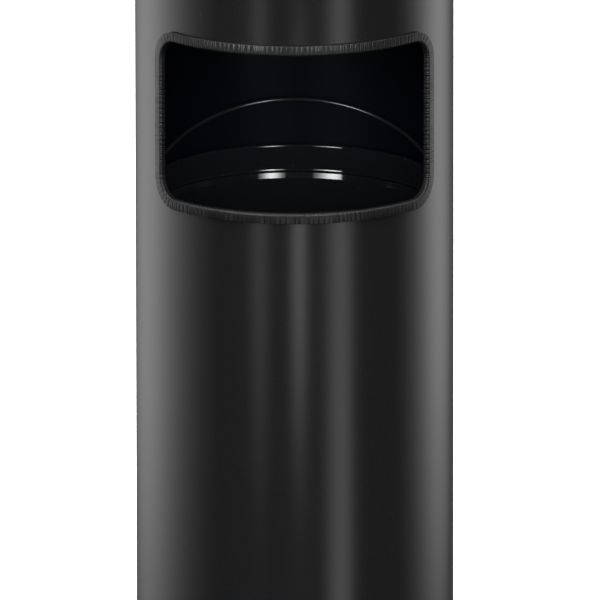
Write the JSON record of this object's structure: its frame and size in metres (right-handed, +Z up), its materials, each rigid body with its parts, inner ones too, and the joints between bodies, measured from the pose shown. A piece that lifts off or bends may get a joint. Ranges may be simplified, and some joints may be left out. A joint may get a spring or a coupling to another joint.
{
  "type": "litter bin",
  "caption": "Round upright steel ash and litter bin with a trimmed front waste mouth, lift-out liner with wire bail, floor ring and a sand-filled ash bowl on top.",
  "frame": {"origin": "middle of the base on the floor", "axes": "+Z up along the shell's axis; the waste mouth faces -Y"},
  "size_m": [0.267, 0.267, 0.62],
  "materials": {
    "charcoal_paint": "charcoal satin powder coat",
    "gloss_black_paint": "smooth gloss black paint",
    "wire_paint": "gloss black paint on round wire",
    "trim_plastic": "soft black ribbed edge profile",
    "ring_plastic": "black moulded plastic, fine texture",
    "clip_steel": "plain steel strip",
    "rivet_steel": "zinc plated",
    "sand": "loose quartz sand"
  },
  "bodies": {
    "bin": {"outer_shell": "charcoal_paint", "edge_trim": "trim_plastic", "trim_clip_core": "clip_steel", "base_ring": "ring_plastic", "base_plate": "charcoal_paint", "base_rivet_1": "rivet_steel", "base_rivet_2": "rivet_steel", "base_rivet_3": "rivet_steel", "base_rivet_4": "rivet_steel"},
    "liner": {"liner_body": "gloss_black_paint", "liner_floor": "gloss_black_paint", "bail_ear_left": "gloss_black_paint", "bail_ear_right": "gloss_black_paint", "ear_rivet_left_upper": "rivet_steel", "ear_rivet_left_lower": "rivet_steel", "ear_rivet_right_upper": "rivet_steel", "ear_rivet_right_lower": "rivet_steel"},
    "bail": {"bail_handle": "wire_paint"},
    "bowl": {"ash_bowl": "charcoal_paint", "sand_bed": "sand"}
  },
  "joints": [
    {"name": "bowl_lift", "type": "slide", "parent": "bin", "child": "bowl", "axis": [0, 0, 1], "range_m": [0, 0.8]},
    {"name": "liner_lift", "type": "slide", "parent": "bin", "child": "liner", "axis": [0, 0, 1], "range_m": [0, 0.64]},
    {"name": "bail_swing", "type": "hinge", "parent": "liner", "child": "bail", "pos_m": [0, 0, 0.3404], "axis": [1, 0, 0], "range_deg": [0, 100]}
  ],
  "couplings": [
    {"joint": "liner_lift", "follows": "bowl_lift", "ratio": 0.8}
  ]
}
